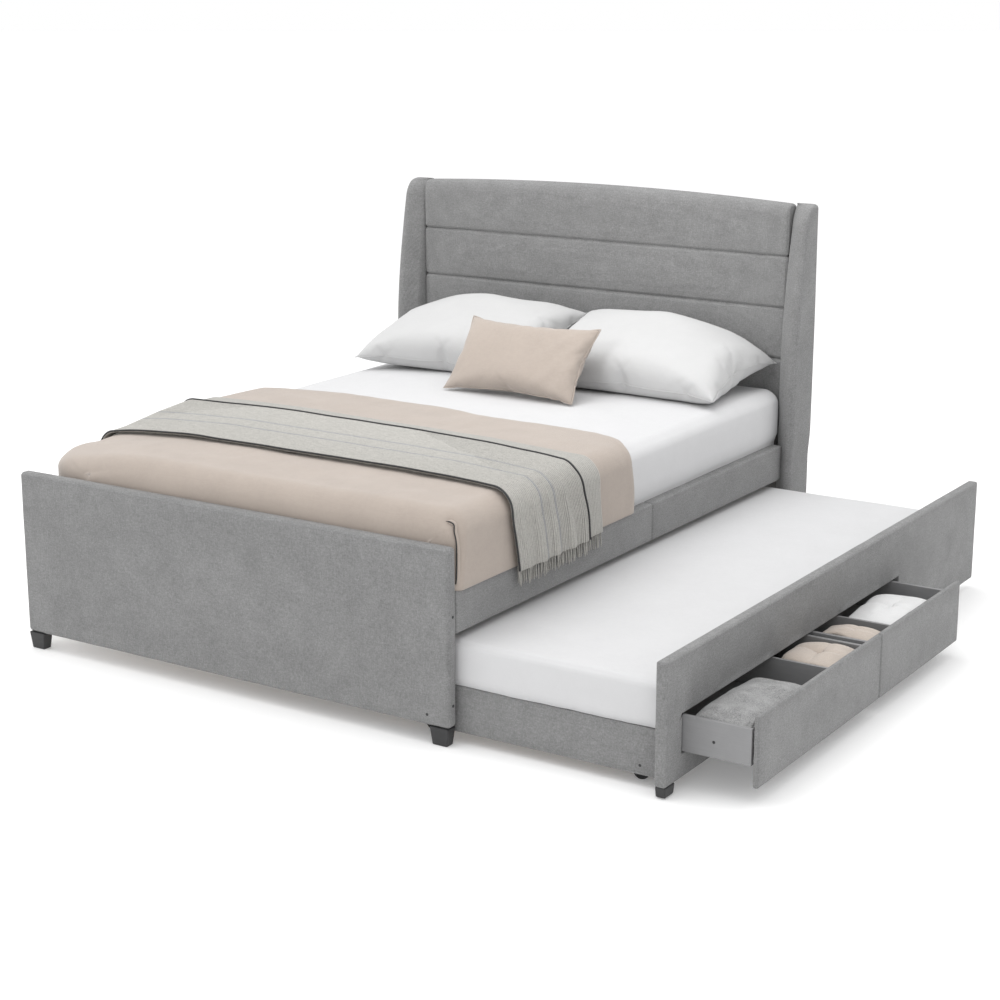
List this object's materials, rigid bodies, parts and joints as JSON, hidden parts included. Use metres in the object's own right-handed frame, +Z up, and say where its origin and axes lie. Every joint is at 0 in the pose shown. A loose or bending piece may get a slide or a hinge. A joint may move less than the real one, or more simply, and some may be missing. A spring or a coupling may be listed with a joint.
{
  "type": "trundle bed",
  "caption": "Upholstered bed with a winged channel headboard, a roll-out trundle with its own mattress, and sliding drawers in the trundle's front panel.",
  "frame": {"origin": "centre of the bottom of the bounding box, on the floor, with the trundle rolled out and the drawers part open as at rest", "axes": "+X towards the side where the trundle rolls out, +Y from the foot to the head, +Z up"},
  "size_m": [2.5341, 2.228, 1.302],
  "materials": {
    "upholstery": "matte woven linen",
    "black_plastic": "satin moulded",
    "wheel_rubber": "matte",
    "black_steel": "satin powder coat",
    "slat_timber": "sanded, unvarnished",
    "drawer_board": "grey painted board, satin",
    "white_bedding": "smooth cotton",
    "white_towel": "soft terry",
    "beige_blanket": "soft brushed cotton",
    "beige_cushion": "soft brushed cotton",
    "beige_towel": "soft terry",
    "woven_throw": "coarse ribbed weave",
    "grey_towel": "terry"
  },
  "bodies": {
    "bed": {"headboard_core": "upholstery", "headboard_channel_1": "upholstery", "headboard_channel_2": "upholstery", "headboard_channel_3": "upholstery", "headboard_channel_4": "upholstery", "headboard_wing_left": "upholstery", "headboard_wing_right": "upholstery", "headboard_leg_left": "black_plastic", "headboard_leg_right": "black_plastic", "footboard": "upholstery", "footboard_leg_left": "black_plastic", "footboard_leg_right": "black_plastic", "side_rail_left_foot": "upholstery", "side_rail_left_head": "upholstery", "side_rail_right_foot": "upholstery", "side_rail_right_head": "upholstery", "centre_beam": "black_steel", "bed_slats": "slat_timber", "mattress": "white_bedding", "blanket": "beige_blanket", "throw": "woven_throw", "pillow_left": "white_bedding", "pillow_right": "white_bedding", "accent_cushion": "beige_cushion"},
    "trundle": {"trundle_panel": "upholstery", "trundle_foot_near": "black_plastic", "trundle_foot_far": "black_plastic", "trundle_end_rail_near": "upholstery", "trundle_end_rail_far": "upholstery", "trundle_back_rail": "upholstery", "drawer_runner_near": "slat_timber", "drawer_runner_middle": "slat_timber", "drawer_runner_far": "slat_timber", "trundle_slat_angle": "black_steel", "trundle_slats": "slat_timber", "trundle_mattress": "white_bedding", "caster_near_front": "black_plastic", "caster_near_back": "black_plastic", "caster_far_front": "black_plastic", "caster_far_back": "black_plastic"},
    "near_drawer": {"near_drawer_front": "upholstery", "near_drawer_side_near": "drawer_board", "near_drawer_side_far": "drawer_board", "near_drawer_back": "drawer_board", "near_drawer_bottom": "drawer_board", "near_drawer_divider": "drawer_board", "towel_grey": "grey_towel", "towel_beige_near": "beige_towel"},
    "far_drawer": {"far_drawer_front": "upholstery", "far_drawer_side_near": "drawer_board", "far_drawer_side_far": "drawer_board", "far_drawer_back": "drawer_board", "far_drawer_bottom": "drawer_board", "far_drawer_divider": "drawer_board", "towel_beige_far": "beige_towel", "towel_white": "white_towel"},
    "wheel_near_front": {"wheel_near_front": "wheel_rubber"},
    "wheel_near_back": {"wheel_near_back": "wheel_rubber"},
    "wheel_far_front": {"wheel_far_front": "wheel_rubber"},
    "wheel_far_back": {"wheel_far_back": "wheel_rubber"}
  },
  "joints": [
    {"name": "trundle_roll", "type": "slide", "parent": "bed", "child": "trundle", "axis": [1, 0, 0], "range_m": [-0.59, 0.35]},
    {"name": "near_drawer_slide", "type": "slide", "parent": "trundle", "child": "near_drawer", "axis": [1, 0, 0], "range_m": [-0.1965, 0.1]},
    {"name": "far_drawer_slide", "type": "slide", "parent": "trundle", "child": "far_drawer", "axis": [1, 0, 0], "range_m": [-0.1965, 0.1]},
    {"name": "wheel_near_front_spin", "type": "hinge", "parent": "trundle", "child": "wheel_near_front", "pos_m": [0.92595, -1.0125, 0.025], "axis": [0, 1, 0], "continuous": true},
    {"name": "wheel_near_back_spin", "type": "hinge", "parent": "trundle", "child": "wheel_near_back", "pos_m": [0.25895, -1.0125, 0.025], "axis": [0, 1, 0], "continuous": true},
    {"name": "wheel_far_front_spin", "type": "hinge", "parent": "trundle", "child": "wheel_far_front", "pos_m": [0.92595, 0.9005, 0.025], "axis": [0, 1, 0], "continuous": true},
    {"name": "wheel_far_back_spin", "type": "hinge", "parent": "trundle", "child": "wheel_far_back", "pos_m": [0.25895, 0.9005, 0.025], "axis": [0, 1, 0], "continuous": true}
  ],
  "couplings": [
    {"joint": "wheel_near_front_spin", "follows": "trundle_roll", "rad_per_m": 40},
    {"joint": "wheel_near_back_spin", "follows": "trundle_roll", "rad_per_m": 40},
    {"joint": "wheel_far_front_spin", "follows": "trundle_roll", "rad_per_m": 40},
    {"joint": "wheel_far_back_spin", "follows": "trundle_roll", "rad_per_m": 40}
  ]
}
